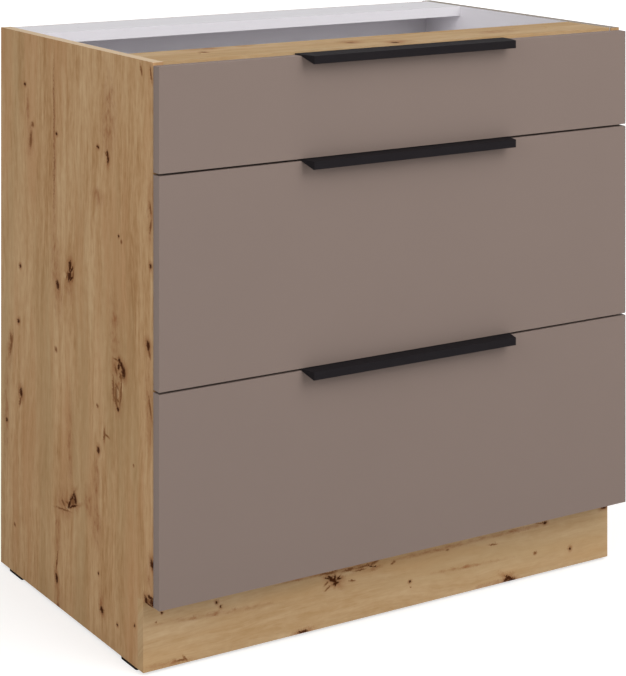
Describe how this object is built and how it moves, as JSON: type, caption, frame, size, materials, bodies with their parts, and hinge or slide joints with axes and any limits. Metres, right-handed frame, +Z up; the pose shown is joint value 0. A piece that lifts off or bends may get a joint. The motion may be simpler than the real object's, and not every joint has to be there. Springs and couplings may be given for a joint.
{
  "type": "kitchen base cabinet",
  "caption": "Free-standing kitchen base cabinet with a shallow drawer above deep ones, a recessed plinth and slim edge handles, open at the top for a worktop.",
  "frame": {"origin": "on the floor, under the middle of the box round the closed cabinet with its handles", "axes": "+X to the cabinet's right as seen from its front, +Y towards its back and the wall, +Z up; the drawers open towards -Y"},
  "size_m": [0.8, 0.539, 0.82],
  "materials": {
    "oak_board": "matt, knotty oak look",
    "white_board": "matt white",
    "front_lacquer": "matt taupe",
    "dark_profile": "dark, finely brushed",
    "zinc_steel": "zinc plated",
    "white_steel": "white, powder coated",
    "roller_nylon": "white nylon",
    "dark_plastic": "black",
    "beech": "raw beech"
  },
  "bodies": {
    "carcass": {"side_left": "oak_board", "side_right": "oak_board", "rail_front": "oak_board", "plinth_board": "oak_board", "bottom_panel": "white_board", "rail_back": "white_board", "back_panel": "white_board", "plinth_brackets": "dark_plastic", "glides": "dark_plastic", "dowels": "beech", "cam_locks": "zinc_steel", "cam_bolts": "zinc_steel", "panel_screws": "zinc_steel", "runner_screws": "zinc_steel", "runner_axles": "zinc_steel", "runner_top_left": "zinc_steel", "runner_top_right": "zinc_steel", "runner_middle_left": "zinc_steel", "runner_middle_right": "zinc_steel", "runner_bottom_left": "zinc_steel", "runner_bottom_right": "zinc_steel"},
    "drawer_top": {"front_top": "front_lacquer", "handle_top": "dark_profile", "drawer_side_top_left": "white_steel", "drawer_side_top_right": "white_steel", "drawer_base_top": "white_board", "drawer_rear_top": "white_board", "drawer_screws_top": "zinc_steel", "drawer_axles_top": "zinc_steel"},
    "drawer_middle": {"front_middle": "front_lacquer", "handle_middle": "dark_profile", "drawer_side_middle_left": "white_steel", "drawer_side_middle_right": "white_steel", "drawer_base_middle": "white_board", "drawer_rear_middle": "white_board", "drawer_screws_middle": "zinc_steel", "drawer_axles_middle": "zinc_steel"},
    "drawer_bottom": {"front_bottom": "front_lacquer", "handle_bottom": "dark_profile", "drawer_side_bottom_left": "white_steel", "drawer_side_bottom_right": "white_steel", "drawer_base_bottom": "white_board", "drawer_rear_bottom": "white_board", "drawer_screws_bottom": "zinc_steel", "drawer_axles_bottom": "zinc_steel"},
    "roller_top_front_left": {"roller_top_front_left": "roller_nylon"},
    "roller_top_front_right": {"roller_top_front_right": "roller_nylon"},
    "roller_top_rear_left": {"roller_top_rear_left": "roller_nylon"},
    "roller_top_rear_right": {"roller_top_rear_right": "roller_nylon"},
    "roller_middle_front_left": {"roller_middle_front_left": "roller_nylon"},
    "roller_middle_front_right": {"roller_middle_front_right": "roller_nylon"},
    "roller_middle_rear_left": {"roller_middle_rear_left": "roller_nylon"},
    "roller_middle_rear_right": {"roller_middle_rear_right": "roller_nylon"},
    "roller_bottom_front_left": {"roller_bottom_front_left": "roller_nylon"},
    "roller_bottom_front_right": {"roller_bottom_front_right": "roller_nylon"},
    "roller_bottom_rear_left": {"roller_bottom_rear_left": "roller_nylon"},
    "roller_bottom_rear_right": {"roller_bottom_rear_right": "roller_nylon"}
  },
  "joints": [
    {"name": "drawer_top_slide", "type": "slide", "parent": "carcass", "child": "drawer_top", "axis": [0, -1, 0], "range_m": [0, 0.35]},
    {"name": "drawer_middle_slide", "type": "slide", "parent": "carcass", "child": "drawer_middle", "axis": [0, -1, 0], "range_m": [0, 0.35]},
    {"name": "drawer_bottom_slide", "type": "slide", "parent": "carcass", "child": "drawer_bottom", "axis": [0, -1, 0], "range_m": [0, 0.35]},
    {"name": "roller_top_front_left_spin", "type": "hinge", "parent": "carcass", "child": "roller_top_front_left", "pos_m": [-0.3789, -0.2135, 0.717], "axis": [1, 0, 0], "range_deg": [0, 2006]},
    {"name": "roller_top_front_right_spin", "type": "hinge", "parent": "carcass", "child": "roller_top_front_right", "pos_m": [0.3789, -0.2135, 0.717], "axis": [1, 0, 0], "range_deg": [0, 2006]},
    {"name": "roller_top_rear_left_spin", "type": "hinge", "parent": "drawer_top", "child": "roller_top_rear_left", "pos_m": [-0.3761, 0.204, 0.717], "axis": [1, 0, 0], "range_deg": [0, 2006]},
    {"name": "roller_top_rear_right_spin", "type": "hinge", "parent": "drawer_top", "child": "roller_top_rear_right", "pos_m": [0.3761, 0.204, 0.717], "axis": [1, 0, 0], "range_deg": [0, 2006]},
    {"name": "roller_middle_front_left_spin", "type": "hinge", "parent": "carcass", "child": "roller_middle_front_left", "pos_m": [-0.3789, -0.2135, 0.42975], "axis": [1, 0, 0], "range_deg": [0, 2006]},
    {"name": "roller_middle_front_right_spin", "type": "hinge", "parent": "carcass", "child": "roller_middle_front_right", "pos_m": [0.3789, -0.2135, 0.42975], "axis": [1, 0, 0], "range_deg": [0, 2006]},
    {"name": "roller_middle_rear_left_spin", "type": "hinge", "parent": "drawer_middle", "child": "roller_middle_rear_left", "pos_m": [-0.3761, 0.204, 0.42975], "axis": [1, 0, 0], "range_deg": [0, 2006]},
    {"name": "roller_middle_rear_right_spin", "type": "hinge", "parent": "drawer_middle", "child": "roller_middle_rear_right", "pos_m": [0.3761, 0.204, 0.42975], "axis": [1, 0, 0], "range_deg": [0, 2006]},
    {"name": "roller_bottom_front_left_spin", "type": "hinge", "parent": "carcass", "child": "roller_bottom_front_left", "pos_m": [-0.3789, -0.2135, 0.1425], "axis": [1, 0, 0], "range_deg": [0, 2006]},
    {"name": "roller_bottom_front_right_spin", "type": "hinge", "parent": "carcass", "child": "roller_bottom_front_right", "pos_m": [0.3789, -0.2135, 0.1425], "axis": [1, 0, 0], "range_deg": [0, 2006]},
    {"name": "roller_bottom_rear_left_spin", "type": "hinge", "parent": "drawer_bottom", "child": "roller_bottom_rear_left", "pos_m": [-0.3761, 0.204, 0.1425], "axis": [1, 0, 0], "range_deg": [0, 2006]},
    {"name": "roller_bottom_rear_right_spin", "type": "hinge", "parent": "drawer_bottom", "child": "roller_bottom_rear_right", "pos_m": [0.3761, 0.204, 0.1425], "axis": [1, 0, 0], "range_deg": [0, 2006]}
  ],
  "couplings": [
    {"joint": "roller_top_front_left_spin", "follows": "drawer_top_slide", "rad_per_m": 100},
    {"joint": "roller_top_front_right_spin", "follows": "drawer_top_slide", "rad_per_m": 100},
    {"joint": "roller_top_rear_left_spin", "follows": "drawer_top_slide", "rad_per_m": 100},
    {"joint": "roller_top_rear_right_spin", "follows": "drawer_top_slide", "rad_per_m": 100},
    {"joint": "roller_middle_front_left_spin", "follows": "drawer_middle_slide", "rad_per_m": 100},
    {"joint": "roller_middle_front_right_spin", "follows": "drawer_middle_slide", "rad_per_m": 100},
    {"joint": "roller_middle_rear_left_spin", "follows": "drawer_middle_slide", "rad_per_m": 100},
    {"joint": "roller_middle_rear_right_spin", "follows": "drawer_middle_slide", "rad_per_m": 100},
    {"joint": "roller_bottom_front_left_spin", "follows": "drawer_bottom_slide", "rad_per_m": 100},
    {"joint": "roller_bottom_front_right_spin", "follows": "drawer_bottom_slide", "rad_per_m": 100},
    {"joint": "roller_bottom_rear_left_spin", "follows": "drawer_bottom_slide", "rad_per_m": 100},
    {"joint": "roller_bottom_rear_right_spin", "follows": "drawer_bottom_slide", "rad_per_m": 100}
  ]
}
